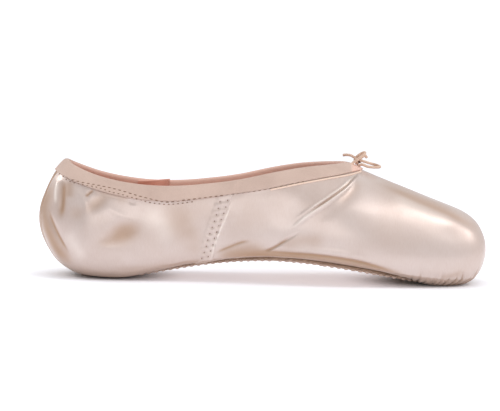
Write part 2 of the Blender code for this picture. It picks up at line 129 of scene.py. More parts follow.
for name, place, aim, width, depth, power in SOFT_BOXES:
    bpy.ops.object.light_add(type="AREA", location=place)
    lamp = bpy.context.object
    lamp.name = name
    lamp.data.shape = "RECTANGLE"
    lamp.data.size = width
    lamp.data.size_y = depth
    lamp.data.energy = power
    lamp.rotation_euler = (Vector(aim) - Vector(place)).to_track_quat("-Z", "Y").to_euler()

room = bpy.data.worlds.new("white_room")
room.use_nodes = True
nodes, links = room.node_tree.nodes, room.node_tree.links
where = nodes.new("ShaderNodeTexCoord")
parts = nodes.new("ShaderNodeSeparateXYZ")
lean = nodes.new("ShaderNodeMath")
lean.operation = "MULTIPLY_ADD"
lean.inputs[1].default_value = ROOM_LEAN
spread = nodes.new("ShaderNodeMapRange")
spread.inputs["From Min"].default_value = -ROOM_LEAN
spread.inputs["From Max"].default_value = 1.0
spread.inputs["To Min"].default_value = ROOM_FRONT
spread.inputs["To Max"].default_value = ROOM_TOP
seen = nodes.new("ShaderNodeLightPath")
blend = nodes.new("ShaderNodeMix")
blend.inputs["B"].default_value = BACKGROUND
links.new(where.outputs["Generated"], parts.inputs[0])
links.new(parts.outputs["Y"], lean.inputs[0])
links.new(parts.outputs["Z"], lean.inputs[2])
links.new(lean.outputs[0], spread.inputs["Value"])
links.new(seen.outputs["Is Camera Ray"], blend.inputs["Factor"])
links.new(spread.outputs["Result"], blend.inputs["A"])
links.new(blend.outputs[0], nodes["Background"].inputs["Strength"])
nodes["Background"].inputs["Color"].default_value = (1, 1, 1, 1)
bpy.context.scene.world = room
bpy.context.scene.view_settings.view_transform = "Standard"

# Satin vamp and quarters
# One peach-pink satin, cut as a vamp over the box and two quarters round the heel. It is pulled over
# the last wet with paste, turned under and pleated at the toe, so the box is tight and the rest slack.
SATIN_LEVELS = 3
SATIN_LIGHT = (0.67, 0.56, 0.515)
SATIN_DEEP = (0.60, 0.475, 0.42)
# The brown of the satin's painted shade
SATIN_PAINTED_SHADE = (0.40, 0.235, 0.135)
# The near-white of the satin's painted highlights
SATIN_PAINTED_HIGHLIGHT = (0.92, 0.82, 0.75)
THREAD_SHARE = 0.35
TONE_RANGE = (0.48, 0.88)
CORE_END = 0.085
CORE_HEIGHT = 0.022
SEAM_MARGIN = 0.0012
LAP_BLEND = (0.0035, 0.0115)
# The side seam's edge in the side view, as height and place, from under the sole to the collar
SEAM_HEIGHTS = (0.0100, 0.0109, 0.0128, 0.0157, 0.0232, 0.0285, 0.0339, 0.0390, 0.0425, 0.0460, 0.0526)
SEAM_PLACES = (-0.0306, -0.0278, -0.0247, -0.0239, -0.0232, -0.0217, -0.0197, -0.0177, -0.0162,
               -0.0147, -0.0119)

# Creases listed in millimetres in the side view: kind, half width, height, share of the line
# over which each end fades, share of it that the far side repeats, and the line itself
CREASES = (
    ("ridge", 0.95, 1.15, 0.04, 0.35, 0.6,
     ((51.4, 57.2), (48.6, 55.6), (42.5, 49.6), (34.7, 44.0), (28.1, 39.6), (21.6, 35.1),
      (17.3, 31.4), (12.9, 28.4))),
    ("ridge", 0.75, 0.80, 0.05, 0.40, 0.6,
     ((50.0, 57.6), (45.9, 55.0), (39.6, 49.9), (32.6, 45.2), (26.0, 41.0), (20.0, 36.8), (15.0, 33.0))),
    ("trough", 0.45, 0.75, 0.05, 0.30, 0.6,
     ((50.4, 57.2), (46.4, 54.6), (40.4, 49.4), (33.2, 44.4), (27.0, 40.3), (22.0, 36.6))),
    ("trough", 2.4, 0.40, 0.15, 0.50, 0.6,
     ((50.5, 52.5), (45.0, 47.0), (38.0, 41.0), (30.0, 35.9), (22.0, 30.4))),
    ("trough", 0.75, 0.85, 0.55, 0.10, 0.7,
     ((22.0, 29.6), (18.0, 27.2), (15.2, 25.5), (10.3, 22.4), (7.1, 20.2), (3.3, 18.1), (1.0, 17.4))),
    ("trough", 1.0, 0.80, 0.45, 0.30, 0.9,
     ((-8.6, 16.4), (-2.0, 17.4), (4.0, 17.4), (9.7, 17.1), (16.0, 16.8), (26.9, 16.3), (37.8, 15.4),
      (49.4, 13.6), (60.0, 10.9), (67.1, 8.9), (74.0, 6.8))),
    ("ridge", 1.6, 0.40, 0.30, 0.30, 0.9,
     ((4.0, 20.4), (16.0, 19.4), (26.9, 18.9), (37.8, 18.2), (49.4, 16.6), (60.0, 13.9))),
    ("trough", 1.1, 0.55, 0.25, 0.40, 0.5,
     ((-24.2, 15.6), (-18.3, 18.4), (-12.8, 20.9), (-8.4, 22.4), (-4.0, 22.8))),
    ("trough", 1.5, 0.34, 0.25, 0.15, 0.8,
     ((62.0, 51.2), (68.0, 48.9), (75.5, 45.7), (86.4, 41.3), (94.7, 38.1), (103.0, 34.2),
      (109.5, 30.5), (112.5, 26.5))),
    ("ridge", 3.4, 0.30, 0.25, 0.20, 0.8,
     ((60.0, 47.6), (70.0, 43.6), (84.0, 37.6), (94.7, 33.0), (104.0, 28.4))),
    ("ridge", 1.0, 0.60, 0.25, 0.60, 0.8,
     ((-106.1, 50.8), (-106.6, 47.4), (-106.9, 43.5), (-106.5, 38.0))),
    ("trough", 1.5, 1.15, 0.25, 0.45, 0.8,
     ((-103.6, 51.3), (-103.3, 47.0), (-103.2, 41.0), (-103.4, 35.0), (-104.0, 30.0))),
    ("trough", 1.5, 0.85, 0.25, 0.25, 0.9,
     ((-110.6, 35.5), (-109.4, 31.0), (-107.6, 27.0), (-105.4, 22.8), (-102.4, 17.6), (-99.5, 12.6),
      (-97.0, 8.6))),
    ("trough", 1.0, 0.60, 0.35, 0.35, 0.3, ((-91.2, 42.6), (-89.0, 44.9), (-86.6, 46.9))),
    ("trough", 1.3, 0.40, 0.40, 0.40, 0.5, ((-68.0, 42.6), (-66.5, 40.7), (-66.0, 38.8))),
    ("ridge", 1.8, 0.45, 0.40, 0.40, 0.5, ((-97.0, 47.5), (-92.5, 42.5), (-90.0, 38.0), (-92.0, 32.5))),
    ("ridge", 1.8, 0.22, 0.40, 0.40, 0.5, ((-86.0, 45.0), (-80.5, 42.6), (-77.5, 37.0), (-70.0, 33.0),
                                           (-60.0, 30.0))),
)
# Soft dents: centre, half sizes, turn in degrees, depth in millimetres
DENTS = (
    ((-70.5, 25.2), (8.0, 5.0), 24, 1.25),
    ((-78.5, 20.8), (5.0, 2.6), 10, 0.50),
    ((-85.0, 39.6), (6.5, 3.2), 34, 0.80),
    ((-95.2, 34.4), (3.4, 3.2), 35, 0.45),
    ((-42.5, 31.5), (7.5, 10.0), 20, 0.60),
    ((-88.0, 22.0), (7.0, 9.0), 0, -0.45),
    ((-55.0, 20.0), (7.0, 8.0), 0, -0.40),
)
# Painted shade: where the satin is darkened brown and made a little rougher, along creases, dark fold
# lines, the under-turn above the sole and the heel's back: strength, half width in millimetres and the
# line in the side view
PAINTED_SHADE_BANDS = (
    (0.85, 0.9, ((-10.0, 16.0), (-2.0, 17.2), (4.0, 17.2), (16.0, 16.6), (26.9, 16.1), (37.8, 15.2),
                 (49.4, 13.4), (60.0, 10.7), (67.1, 8.7), (78.0, 5.6))),
    (0.80, 2.4, ((-30.0, 11.8), (-22.0, 13.4), (-12.0, 14.8), (2.0, 15.2), (20.0, 14.4), (40.0, 12.4),
                 (55.0, 9.6), (70.0, 6.0), (84.0, 2.6))),
    (0.55, 4.5, ((-27.0, 10.5), (-14.0, 13.0), (2.0, 12.6), (20.0, 11.0), (40.0, 9.0), (55.0, 6.6),
                 (70.0, 3.6))),
    (0.40, 3.0, ((-23.5, 13.5), (-14.0, 16.5), (-6.0, 18.5), (4.0, 17.0))),
    (0.75, 0.7, ((-24.2, 15.4), (-18.3, 18.2), (-12.8, 20.7), (-8.4, 22.2), (-5.0, 22.6))),
    (0.85, 0.6, ((14.0, 24.6), (10.3, 22.3), (7.1, 20.1), (3.3, 18.0), (0.0, 17.0))),
    (0.30, 3.0, ((34.0, 23.0), (24.0, 24.0), (15.0, 22.6), (8.0, 18.5))),
    (0.75, 0.5, ((50.6, 56.9), (46.4, 54.4), (40.4, 49.2), (33.2, 44.2), (27.0, 40.1), (23.0, 37.4))),
    (0.20, 1.6, ((51.5, 54.5), (47.4, 50.2), (43.0, 46.2), (38.0, 42.2))),
    (0.45, 1.5, ((56.0, 53.0), (62.0, 51.4), (68.0, 49.1), (75.5, 45.9), (86.4, 41.5), (94.7, 38.3),
                 (103.0, 34.4), (109.5, 30.7), (113.0, 26.0))),
    (0.25, 5.0, ((52.0, 56.0), (62.0, 53.5), (75.0, 49.0), (90.0, 43.0), (104.0, 36.5))),
    (0.80, 3.4, ((-105.5, 52.0), (-110.5, 45.0), (-113.6, 38.0), (-113.4, 30.5), (-110.4, 23.0),
                 (-105.8, 15.0), (-100.0, 8.5), (-94.0, 3.0))),
    (0.90, 0.8, ((-110.6, 36.5), (-109.2, 31.0), (-107.4, 27.0), (-105.2, 22.8), (-102.2, 17.6),
                 (-99.3, 12.6))),
    (0.85, 1.7, ((-103.4, 52.0), (-103.0, 47.0), (-102.8, 41.0), (-103.2, 35.0), (-104.4, 30.0))),
    (0.50, 2.6, ((-100.5, 51.0), (-99.6, 46.0), (-99.6, 41.0))),
    (0.80, 0.8, ((-91.2, 42.4), (-89.0, 44.7), (-86.6, 46.7))),
    (0.35, 2.6, ((-88.0, 48.0), (-76.0, 44.5), (-66.0, 41.5))),
    (0.30, 2.0, ((-80.0, 5.0), (-60.0, 7.0), (-40.0, 9.5))),
    (0.22, 4.5, ((-38.0, 30.0), (-34.0, 22.0), (-36.0, 14.0))),
    (0.30, 1.5, ((90.0, 5.5), (98.0, 6.5), (105.0, 9.0))),
)
# Painted highlights: where fold crests, edges and a few broad patches are coloured light, in the same form
PAINTED_HIGHLIGHT_BANDS = (
    (0.90, 0.60, ((48.6, 55.8), (42.5, 49.9), (34.7, 44.3), (28.1, 39.9), (21.6, 35.4), (16.3, 31.0),
                  (12.0, 28.0))),
    (0.80, 0.50, ((51.0, 58.2), (46.4, 55.5), (39.9, 50.4), (32.9, 45.7), (26.3, 41.4), (20.0, 37.2))),
    (0.80, 0.80, ((-106.0, 50.5), (-106.4, 47.4), (-106.9, 43.5), (-106.7, 38.0))),
    (0.70, 0.35, ((-15.4, 44.0), (-16.9, 38.7), (-19.0, 33.2), (-22.2, 25.3), (-24.6, 18.0),
                  (-25.6, 13.5), (-28.0, 10.0))),
    (0.35, 3.0, ((64.0, 46.5), (76.0, 41.5), (90.0, 35.6), (100.0, 31.0))),
    (0.30, 3.0, ((-100.0, 26.0), (-96.0, 18.0), (-90.0, 10.0))),
    (0.25, 5.0, ((-62.0, 36.0), (-52.0, 30.0), (-46.0, 20.0))),
)
BAND_FADE = 0.28
# Inward dents are darkened brown towards their middles: painted shade in the dents
DENT_PAINTED_SHADE = 0.55
DENT_SHADE_EDGE = 1.5
DENT_FAR_SHARE = 0.7
# Slack in the satin away from the box, as height and size of its lumps with their seeds
SLACK_LUMPS = ((0.00030, 0.013, 3), (0.00010, 0.006, 5))
SLACK_END = (0.000, 0.045)
SLACK_AT_BOX = 0.20
NOISE_CELLS = 16
NOISE_START = 100
# How far a face has to turn to a side before it takes the creases, and before it takes the painted shade
# and painted highlights
SIDE_ON = (0.12, 0.40)
SIDE_SEEN = (0.04, 0.16)
# Faces turned down are darkened brown: painted shade where the satin turns under
UNDERSIDE_FACING = (0.35, 0.95)
UNDERSIDE_PAINTED_SHADE = 0.55
# Where the binding and the sole lie close, the satin moves less than in the open
CLEAR_SEARCH = 0.006
CLEAR_OUTWARDS = (0.0009, 0.0035)
CLEAR_INWARDS = (0.0002, 0.0016)
LOWEST = 0.00002
# Near a crease narrower than this the mesh is made finer, within this reach of its line, in millimetres
FINE_CREASE = 1.2
FINE_REACH = 2.6
# The back strip: a narrow tape of satin down the heel's middle, let in between two grooved seams
BACK_STRIP_SPAN = (0.088, 0.098)
BACK_STRIP_HALF = 0.0050
BACK_STRIP_WIDEST = 0.0085
BACK_STRIP_TAPER = (0.028, 0.050)
BACK_STRIP_LINE = 0.0007
BACK_STRIP_GROOVE = 0.0003
# The strip and its two grooves are darkened brown: painted shade down the heel's back and in the grooves
BACK_STRIP_PAINTED_SHADE = 0.60
BACK_STRIP_GROOVE_SHADE = 0.95
# Two rows of stitches down the side seam, in millimetres in the side view: front row and rear row
SEAM_ROWS = (
    ((-17.5, 44.4), (-18.2, 41.7), (-19.2, 37.6), (-21.6, 31.2), (-22.9, 27.0), (-24.5, 22.2),
     (-25.2, 18.8), (-27.6, 12.9)),
    ((-21.4, 43.6), (-22.0, 41.1), (-22.8, 37.5), (-24.4, 31.9), (-26.2, 26.9), (-27.5, 22.4),
     (-28.3, 19.0), (-30.6, 12.3)),
)
SEAM_PITCH = 3.4
SEAM_MIDDLE = -25
SEAM_REACH = 14
PUCKER_DEPTH = 0.48
PUCKER_WIDTH = 0.75
PUFF_SHARE = 0.6
PUFF_SIZE = (2.2, 0.8)
# Pleats drawn in under the platform, as degrees round the toe, and how far up the wall each runs
PLEAT_CENTRE = (0.080, 0.0)
PLEATS = 34
PLEAT_SEED = 11
PLEAT_SPAN = math.radians(112)
PLEAT_HALF_WIDTH = math.radians(1.15)
PLEAT_DEPTH = 0.00095
PLEAT_FOOT = 0.0015
PLEAT_RISE = (0.0055, 0.0150)
PLEAT_LEAN = 9
PLEAT_WIDTHS = (0.8, 1.5)
PLEAT_DEPTHS = (0.6, 1.2)
PLEAT_RIM_SHARE = 0.55
PLEAT_RIM_PLACE = 1.3
# The deepest pleat hollows are darkened brown: painted shade in the pleats
PLEAT_SHADE_DEPTHS = (0.0001, 0.0007)
PLEAT_PAINTED_SHADE = 0.60
MERGE_WITHIN = 0.00001
QUAD_ANGLE = math.radians(70)
SATIN_SHARP = math.radians(28)
LAP_SMOOTHINGS = 30


def deselect_all():
    for thing in bpy.context.selected_objects:
        thing.select_set(False)


def work_on(piece):
    deselect_all()
    piece.select_set(True)
    bpy.context.view_layer.objects.active = piece


def copy_of_node(node, name):
    """A new object with its own merged copy of a CAD node's mesh, in quads where they fit."""
    made = bpy.data.objects.new(name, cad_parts[node].data.copy())
    made.data.materials.clear()
    bpy.context.collection.objects.link(made)
    work_on(made)
    bpy.ops.object.mode_set(mode="EDIT")
    bpy.ops.mesh.select_all(action="SELECT")
    bpy.ops.mesh.remove_doubles(threshold=MERGE_WITHIN)
    bpy.ops.mesh.tris_convert_to_quads(face_threshold=QUAD_ANGLE, shape_threshold=QUAD_ANGLE)
    bpy.ops.object.mode_set(mode="OBJECT")
    return made


def keep_faces(piece, wanted):
    """Deletes every face whose centre and normal the test doesn't want."""
    work_on(piece)
    for face in piece.data.polygons:
        face.select = not wanted(face.center, face.normal)
    for edge in piece.data.edges:
        edge.select = False
    for vertex in piece.data.vertices:
        vertex.select = False
    bpy.ops.object.mode_set(mode="EDIT")
    bpy.ops.mesh.select_mode(type="FACE")
    bpy.ops.mesh.delete(type="FACE")
    bpy.ops.object.mode_set(mode="OBJECT")


def crease_sharp_edges(piece, angle):
    work_on(piece)
    bpy.ops.object.mode_set(mode="EDIT")
    bpy.ops.mesh.select_mode(type="EDGE")
    bpy.ops.mesh.select_all(action="DESELECT")
    bpy.ops.mesh.edges_select_sharp(sharpness=angle)
    bpy.ops.transform.edge_crease(value=1.0)
    bpy.ops.object.mode_set(mode="OBJECT")


def subdivide(piece, levels):
    work_on(piece)
    rounder = piece.modifiers.new("rounder", "SUBSURF")
    rounder.levels = levels
    rounder.render_levels = levels
    bpy.ops.object.modifier_apply(modifier="rounder")
    piece.data.shade_smooth()


def is_outside(centre, normal):
    core = Vector((min(max(centre.x, -CORE_END), CORE_END), 0, CORE_HEIGHT))
    return normal.dot(centre - core) > 0


def seam_place(height):
    return float(np.interp(height, SEAM_HEIGHTS, SEAM_PLACES))


def is_vamp(centre):
    return centre.x > seam_place(centre.z) + SEAM_MARGIN


def read_vectors(items, attribute):
    values = np.empty(len(items) * 3)
    items.foreach_get(attribute, values)
    return values.reshape(-1, 3)


def ease(value, start, end):
    """A soft step from 0 at the start to 1 at the end."""
    share = np.clip((value - start) / (end - start), 0, 1)
    return share * share * (3 - 2 * share)


def smooth_line(points, steps=6):
    """More points on a smooth curve through a line's own points."""
    points = np.array(points, dtype=float)
    padded = np.vstack([2 * points[0] - points[1], points, 2 * points[-1] - points[-2]])
    made = []
    for a, b, c, d in zip(padded, padded[1:], padded[2:], padded[3:]):
        for step in range(steps):
            t = step / steps
            made.append(0.5 * (2 * b + (c - a) * t + (2 * a - 5 * b + 4 * c - d) * t ** 2
                               + (3 * b - a - 3 * c + d) * t ** 3))
    made.append(points[-1])
    return np.array(made)


def along_line(line, x, z):
    """For every vertex in the side view: distance off the line, positive above it, and share along."""
    nearest = np.full(len(x), 1e9)
    off, along, walked = np.zeros(len(x)), np.zeros(len(x)), 0.0
    if line[0][0] > line[-1][0]:
        above = -1
    else:
        above = 1
    for (x0, z0), (x1, z1) in zip(line, line[1:]):
        dx, dz = x1 - x0, z1 - z0
        length = math.hypot(dx, dz)
        t = np.clip(((x - x0) * dx + (z - z0) * dz) / length ** 2, 0, 1)
        gap = np.hypot(x - x0 - dx * t, z - z0 - dz * t)
        sign = np.sign(dx * (z - z0) - dz * (x - x0)) * above
        closer = gap < nearest
        nearest = np.where(closer, gap, nearest)
        off = np.where(closer, gap * sign, off)
        along = np.where(closer, walked + length * t, along)
        walked += length
    return off, along / walked


def inside_dent(x, z, centre, half_sizes, turn):
    """For every vertex: its squared distance from a dent's centre, as a share of the dent's size."""
    c, s = math.cos(math.radians(turn)), math.sin(math.radians(turn))
    u = ((x - centre[0]) * c + (z - centre[1]) * s) / half_sizes[0]
    v = (-(x - centre[0]) * s + (z - centre[1]) * c) / half_sizes[1]
    return u * u + v * v


def crease_heights(x, z, side):
    """Height of all creases and dents at every vertex, in millimetres. side is -1 near, +1 far."""
    total = np.zeros(len(x))
    near = side < 0
    for kind, width, height, fade_in, fade_out, far_share, points in CREASES:
        off, share = along_line(smooth_line(points), x, z)
        q = off / width
        profile = np.exp(-q * q)
        if kind == "trough":
            profile = -profile
        ends = ease(share, 0.0, fade_in) * ease(1 - share, 0.0, fade_out)
        total += height * profile * ends * np.where(near, 1.0, far_share)
    for centre, half_sizes, turn, depth in DENTS:
        dent = np.exp(-inside_dent(x, z, centre, half_sizes, turn))
        total -= depth * dent * np.where(near, 1.0, DENT_FAR_SHARE)
    return total


def band_shares(bands, x, z):
    """How much every vertex keeps of its own colour under a table of soft bands."""
    clean = np.ones(len(x))
    for strength, half_width, points in bands:
        off, share = along_line(smooth_line(points), x, z)
        band = np.exp(-(off / half_width) ** 2)
        clean *= 1 - strength * band * ease(share, 0.0, BAND_FADE) * ease(1 - share, 0.0, BAND_FADE)
    return clean


def painted_shade_shares(x, z):
    """How much painted shade the satin takes at every vertex, from 0 to 1."""
    clean = band_shares(PAINTED_SHADE_BANDS, x, z)
    for centre, half_sizes, turn, depth in DENTS:
        dent = np.exp(-inside_dent(x, z, centre, half_sizes, turn) ** DENT_SHADE_EDGE)
        clean *= 1 - DENT_PAINTED_SHADE * max(depth, 0) * dent
    return 1 - clean


def evenly_along(points, pitch):
    """Places and directions one pitch apart along a smooth line in the side view."""
    line = smooth_line(points)
    steps = np.linalg.norm(np.diff(line, axis=0), axis=1)
    walked = np.concatenate([[0], np.cumsum(steps)])
    stops = np.arange(pitch / 2, walked[-1], pitch)
    places = np.column_stack([np.interp(stops, walked, line[:, axis]) for axis in range(2)])
    look = pitch * 0.3
    ahead = np.column_stack([np.interp(stops + look, walked, line[:, axis]) for axis in range(2)])
    behind = np.column_stack([np.interp(stops - look, walked, line[:, axis]) for axis in range(2)])
    return places, ahead - behind


def pucker_heights(x, z):
    """The satin drawn in at every seam stitch and puffed up between them, in millimetres."""
    total = np.zeros(len(x))
    near_seam = np.flatnonzero(np.abs(x - SEAM_MIDDLE) < SEAM_REACH)
    if not len(near_seam):
        return total
    px, pz = x[near_seam], z[near_seam]
    for row in SEAM_ROWS:
        for (sx, sz), (dx, dz) in zip(*evenly_along(row, SEAM_PITCH)):
            away = (px - sx) ** 2 + (pz - sz) ** 2
            total[near_seam] -= PUCKER_DEPTH * np.exp(-away / PUCKER_WIDTH ** 2)
            long = math.hypot(dx, dz)
            fx, fz = sx + dx / long * SEAM_PITCH / 2, sz + dz / long * SEAM_PITCH / 2
            away = ((px - fx) / PUFF_SIZE[0]) ** 2 + ((pz - fz) / PUFF_SIZE[1]) ** 2
            total[near_seam] += PUCKER_DEPTH * PUFF_SHARE * np.exp(-away)
    return total


def refine_near_creases(piece):
    """Halves the faces beside the narrow creases and the seam stitches."""
    work_on(piece)
    centres = read_vectors(piece.data.polygons, "center") * 1000
    x, z = centres[:, 0], centres[:, 2]
    nearest = np.full(len(x), 1e9)
    lines = [crease[-1] for crease in CREASES if crease[1] < FINE_CREASE]
    for points in lines + list(SEAM_ROWS):
        nearest = np.minimum(nearest, np.abs(along_line(smooth_line(points, 3), x, z)[0]))
    piece.data.polygons.foreach_set("select", nearest < FINE_REACH)
    bpy.ops.object.mode_set(mode="EDIT")
    bpy.ops.mesh.select_mode(type="FACE")
    bpy.ops.mesh.subdivide(number_cuts=1, smoothness=1.0)
    bpy.ops.object.mode_set(mode="OBJECT")
    piece.data.shade_smooth()


def smooth_lap(piece):
    """Blends the hidden rear edge of the side seam's lap into the quarter."""
    work_on(piece)
    places = read_vectors(piece.data.vertices, "co")
    behind = np.interp(places[:, 2], SEAM_HEIGHTS, SEAM_PLACES) - places[:, 0]
    piece.data.vertices.foreach_set("select", (behind > LAP_BLEND[0]) & (behind < LAP_BLEND[1]))
    bpy.ops.object.mode_set(mode="EDIT")
    bpy.ops.mesh.select_mode(type="VERT")
    bpy.ops.mesh.vertices_smooth(factor=0.5, repeat=LAP_SMOOTHINGS)
    bpy.ops.object.mode_set(mode="OBJECT")


def soft_noise(places, size, seed):
    """Smooth seeded noise from -1 to 1, with lumps of about the given size."""
    lattice = np.random.default_rng(seed).uniform(-1, 1, (NOISE_CELLS, NOISE_CELLS, NOISE_CELLS))
    grid = places / size + NOISE_START
    base = np.floor(grid).astype(int)
    share = grid - base
    share = share * share * (3 - 2 * share)
    total = np.zeros(len(places))
    for corner in range(8):
        step = np.array([corner & 1, corner >> 1 & 1, corner >> 2 & 1])
        weight = np.prod(np.where(step == 1, share, 1 - share), axis=1)
        index = (base + step) % NOISE_CELLS
        total += weight * lattice[index[:, 0], index[:, 1], index[:, 2]]
    return total


def pleat_heights(x, y, z):
    """The satin's pleats where it is drawn in under the platform."""
    chance = np.random.default_rng(PLEAT_SEED)
    angle = np.arctan2(y - PLEAT_CENTRE[1], x - PLEAT_CENTRE[0])
    total = np.zeros(len(x))
    for index in range(PLEATS):
        middle = -PLEAT_SPAN + 2 * PLEAT_SPAN * (index + chance.uniform(0.2, 0.8)) / PLEATS
        top = chance.uniform(*PLEAT_RISE)
        lean = chance.uniform(-PLEAT_LEAN, PLEAT_LEAN)
        width = PLEAT_HALF_WIDTH * chance.uniform(*PLEAT_WIDTHS)
        depth = PLEAT_DEPTH * chance.uniform(*PLEAT_DEPTHS)
        q = (angle - middle - lean * z) / width
        rise = 1 - ease(z, PLEAT_FOOT, top)
        rim = PLEAT_RIM_SHARE * np.exp(-(q - PLEAT_RIM_PLACE) ** 2)
        total += depth * rise * (rim - np.exp(-q * q))
    return total


def shape_satin(piece, keep_clear):
    """Moves the satin's vertices along their normals into creases, dents, pleats and slack."""
    places = read_vectors(piece.data.vertices, "co")
    normals = read_vectors(piece.data.vertex_normals, "vector")
    x, y, z = places.T
    side_on = ease(np.abs(normals[:, 1]), *SIDE_ON)
    heights = crease_heights(x * 1000, z * 1000, np.sign(y)) / 1000 * side_on
    slack = 1 - ease(x, *SLACK_END)
    heights += pucker_heights(x * 1000, z * 1000) / 1000 * side_on
    for lump_height, lump_size, seed in SLACK_LUMPS:
        lumps = lump_height * soft_noise(places, lump_size, seed)
        heights += lumps * (SLACK_AT_BOX + (1 - SLACK_AT_BOX) * slack)
    pleats = pleat_heights(x, y, z)
    heights += pleats
    # Painted shade and painted highlights, kept as two attributes for the satin's colour; the bands only
    # show where a face is turned to a side
    side_seen = ease(np.abs(normals[:, 1]), *SIDE_SEEN)
    painted_highlight = (1 - band_shares(PAINTED_HIGHLIGHT_BANDS, x * 1000, z * 1000)) * side_seen
    shade_share = painted_shade_shares(x * 1000, z * 1000) * side_seen
    shade_share = np.maximum(shade_share, ease(-normals[:, 2], *UNDERSIDE_FACING) * UNDERSIDE_PAINTED_SHADE)
    behind = ease(-x, *BACK_STRIP_SPAN)
    flare = 1 - ease(z, *BACK_STRIP_TAPER)
    strip_half = BACK_STRIP_HALF + (BACK_STRIP_WIDEST - BACK_STRIP_HALF) * flare
    strip_edge = np.exp(-((np.abs(y) - strip_half) / BACK_STRIP_LINE) ** 2) * behind
    shade_share = np.maximum(shade_share, strip_edge * BACK_STRIP_GROOVE_SHADE)
    shade_share = np.maximum(shade_share, (np.abs(y) < strip_half) * behind * BACK_STRIP_PAINTED_SHADE)
    heights -= strip_edge * BACK_STRIP_GROOVE
    shade_share = np.maximum(shade_share, ease(-pleats, *PLEAT_SHADE_DEPTHS) * PLEAT_PAINTED_SHADE)
    for name, shares in (("painted_shade", shade_share), ("painted_highlight", painted_highlight)):
        piece.data.attributes.new(name, "FLOAT", "POINT").data.foreach_set("value", shares)
    clear = np.array([keep_clear.find_nearest(Vector(place), CLEAR_SEARCH)[3] or CLEAR_SEARCH
                      for place in places])
    outwards = np.maximum(heights, 0) * ease(clear, *CLEAR_OUTWARDS)
    inwards = np.minimum(heights, 0) * ease(clear, *CLEAR_INWARDS)
    places += normals * (outwards + inwards)[:, None]
    places[:, 2] = np.maximum(places[:, 2], LOWEST)
    piece.data.vertices.foreach_set("co", places.ravel())
    piece.data.update()


def tree_of(*pieces):
    """A search tree over the faces of several pieces whose objects sit at the origin."""
    places, faces = [], []
    for piece in pieces:
        base = len(places)
        places += [vertex.co.copy() for vertex in piece.data.vertices]
        faces += [[base + index for index in face.vertices] for face in piece.data.polygons]
    return BVHTree.FromPolygons(places, faces)


def thread_group():
    """Fine threads and slow shade changes, for every cloth of the shoe."""
    group = bpy.data.node_groups.new("cloth_threads", "ShaderNodeTree")
    for name, kind, value in (("Thread Width", "NodeSocketFloat", 0.0004),
                              ("Stretch", "NodeSocketVector", (1.0, 1.0, 1.0)),
                              ("Patch Size", "NodeSocketFloat", 0.02)):
        socket = group.interface.new_socket(name, in_out="INPUT", socket_type=kind)
        socket.default_value = value
    group.interface.new_socket("Threads", in_out="OUTPUT", socket_type="NodeSocketFloat")
    group.interface.new_socket("Patches", in_out="OUTPUT", socket_type="NodeSocketFloat")
    nodes, links = group.nodes, group.links
    start = nodes.new("NodeGroupInput")
    end = nodes.new("NodeGroupOutput")
    where = nodes.new("ShaderNodeTexCoord")
    stretched = nodes.new("ShaderNodeVectorMath")
    stretched.operation = "MULTIPLY"
    links.new(where.outputs["Object"], stretched.inputs[0])
    links.new(start.outputs["Stretch"], stretched.inputs[1])
    for size, output, vector, detail in (("Thread Width", "Threads", stretched.outputs[0], 2.0),
                                         ("Patch Size", "Patches", where.outputs["Object"], 3.0)):
        scale = nodes.new("ShaderNodeMath")
        scale.operation = "DIVIDE"
        scale.inputs[0].default_value = 1.0
        links.new(start.outputs[size], scale.inputs[1])
        noise = nodes.new("ShaderNodeTexNoise")
        noise.inputs["Detail"].default_value = detail
        links.new(vector, noise.inputs["Vector"])
        links.new(scale.outputs[0], noise.inputs["Scale"])
        links.new(noise.outputs["Fac"], end.inputs[output])
    return group


cloth_threads = thread_group()


def cloth_material(name, light, deep, roughness, thread_width, stretch, patch_size, relief, relief_height):
    """A woven cloth that shades from deep to light, with its nodes, its links, its shader and its tone."""
    made, nodes, links, shader = new_material(name, light, roughness)
    cloth = nodes.new("ShaderNodeGroup")
    cloth.node_tree = cloth_threads
    cloth.inputs["Thread Width"].default_value = thread_width
    cloth.inputs["Stretch"].default_value = stretch
    cloth.inputs["Patch Size"].default_value = patch_size
    total = nodes.new("ShaderNodeMath")
    total.operation = "MULTIPLY_ADD"
    total.inputs[1].default_value = THREAD_SHARE
    links.new(cloth.outputs["Threads"], total.inputs[0])
    links.new(cloth.outputs["Patches"], total.inputs[2])
    tone = nodes.new("ShaderNodeMapRange")
    tone.inputs["From Min"].default_value = TONE_RANGE[0]
    tone.inputs["From Max"].default_value = TONE_RANGE[1]
    links.new(total.outputs[0], tone.inputs["Value"])
    colour = nodes.new("ShaderNodeMix")
    colour.data_type = "RGBA"
    colour.inputs["A"].default_value = (*deep, 1)
    colour.inputs["B"].default_value = (*light, 1)
    links.new(tone.outputs["Result"], colour.inputs["Factor"])
    links.new(colour.outputs["Result"], shader.inputs["Base Color"])
    bump = nodes.new("ShaderNodeBump")
    bump.inputs["Strength"].default_value = relief
    bump.inputs["Distance"].default_value = relief_height
    links.new(cloth.outputs["Threads"], bump.inputs["Height"])
    links.new(bump.outputs["Normal"], shader.inputs["Normal"])
    return made, nodes, links, shader, tone


